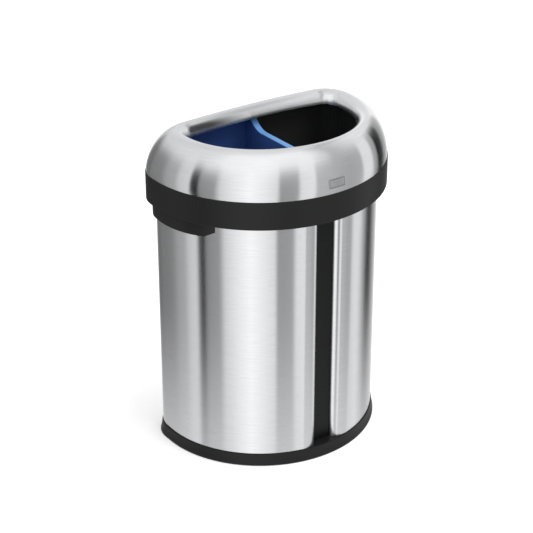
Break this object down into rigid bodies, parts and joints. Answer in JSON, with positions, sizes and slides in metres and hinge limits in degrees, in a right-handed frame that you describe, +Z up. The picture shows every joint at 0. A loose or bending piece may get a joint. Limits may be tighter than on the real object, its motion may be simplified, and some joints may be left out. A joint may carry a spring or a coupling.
{
  "type": "double recycling bin",
  "caption": "D-shaped stainless steel floor bin with a lift-off open lid over a blue recycling bucket and a black waste bucket.",
  "frame": {"origin": "on the floor, in the middle of the plan's bounding box", "axes": "+Z up; -Y to the rounded front with the black strip and +Y to the flat back; +X to the black bucket's side"},
  "size_m": [0.593, 0.4, 0.807],
  "materials": {
    "brushed_steel": "upright fine brushed grain, satin",
    "badge_steel": "satin, bare",
    "black_plastic": "fine matt texture",
    "strip_plastic": "satin extruded plastic",
    "blue_plastic": "satin moulded plastic",
    "bucket_black": "satin moulded plastic",
    "rubber": "matt",
    "zinc_steel": "zinc plated"
  },
  "bodies": {
    "body": {"base_tray": "black_plastic", "foot_pad_1": "rubber", "foot_pad_2": "rubber", "foot_pad_3": "rubber", "foot_pad_4": "rubber", "foot_pad_5": "rubber", "foot_pad_6": "rubber", "body_shell": "brushed_steel", "front_channel": "strip_plastic", "top_frame": "black_plastic", "base_screw_1": "zinc_steel", "base_screw_2": "zinc_steel", "base_screw_3": "zinc_steel", "base_screw_4": "zinc_steel", "base_screw_5": "zinc_steel", "base_screw_6": "zinc_steel", "frame_screw_1": "zinc_steel", "frame_screw_2": "zinc_steel", "frame_screw_3": "zinc_steel", "frame_screw_4": "zinc_steel", "frame_screw_5": "zinc_steel", "frame_screw_6": "zinc_steel", "grip_left": "black_plastic", "grip_right": "black_plastic", "grip_screw_1": "zinc_steel", "grip_screw_2": "zinc_steel", "grip_screw_3": "zinc_steel", "grip_screw_4": "zinc_steel"},
    "lid": {"lid_collar": "black_plastic", "lid_dome": "brushed_steel", "lid_clamp_ring": "black_plastic", "lid_screw_1": "zinc_steel", "lid_screw_2": "zinc_steel", "lid_screw_3": "zinc_steel", "lid_screw_4": "zinc_steel", "lid_screw_5": "zinc_steel", "lid_screw_6": "zinc_steel", "lid_screw_7": "zinc_steel", "lid_screw_8": "zinc_steel", "badge_plate": "badge_steel"},
    "blue_bucket": {"blue_bucket": "blue_plastic"},
    "black_bucket": {"black_bucket": "bucket_black"}
  },
  "joints": [
    {"name": "lid_lift", "type": "slide", "parent": "body", "child": "lid", "axis": [0, 0, 1], "range_m": [0, 1]},
    {"name": "blue_bucket_lift", "type": "slide", "parent": "body", "child": "blue_bucket", "axis": [0, 0, 1], "range_m": [0, 0.78]},
    {"name": "black_bucket_lift", "type": "slide", "parent": "body", "child": "black_bucket", "axis": [0, 0, 1], "range_m": [0, 0.75]}
  ],
  "couplings": [
    {"joint": "blue_bucket_lift", "follows": "lid_lift", "ratio": 0.76},
    {"joint": "black_bucket_lift", "follows": "lid_lift", "ratio": 0.72}
  ]
}
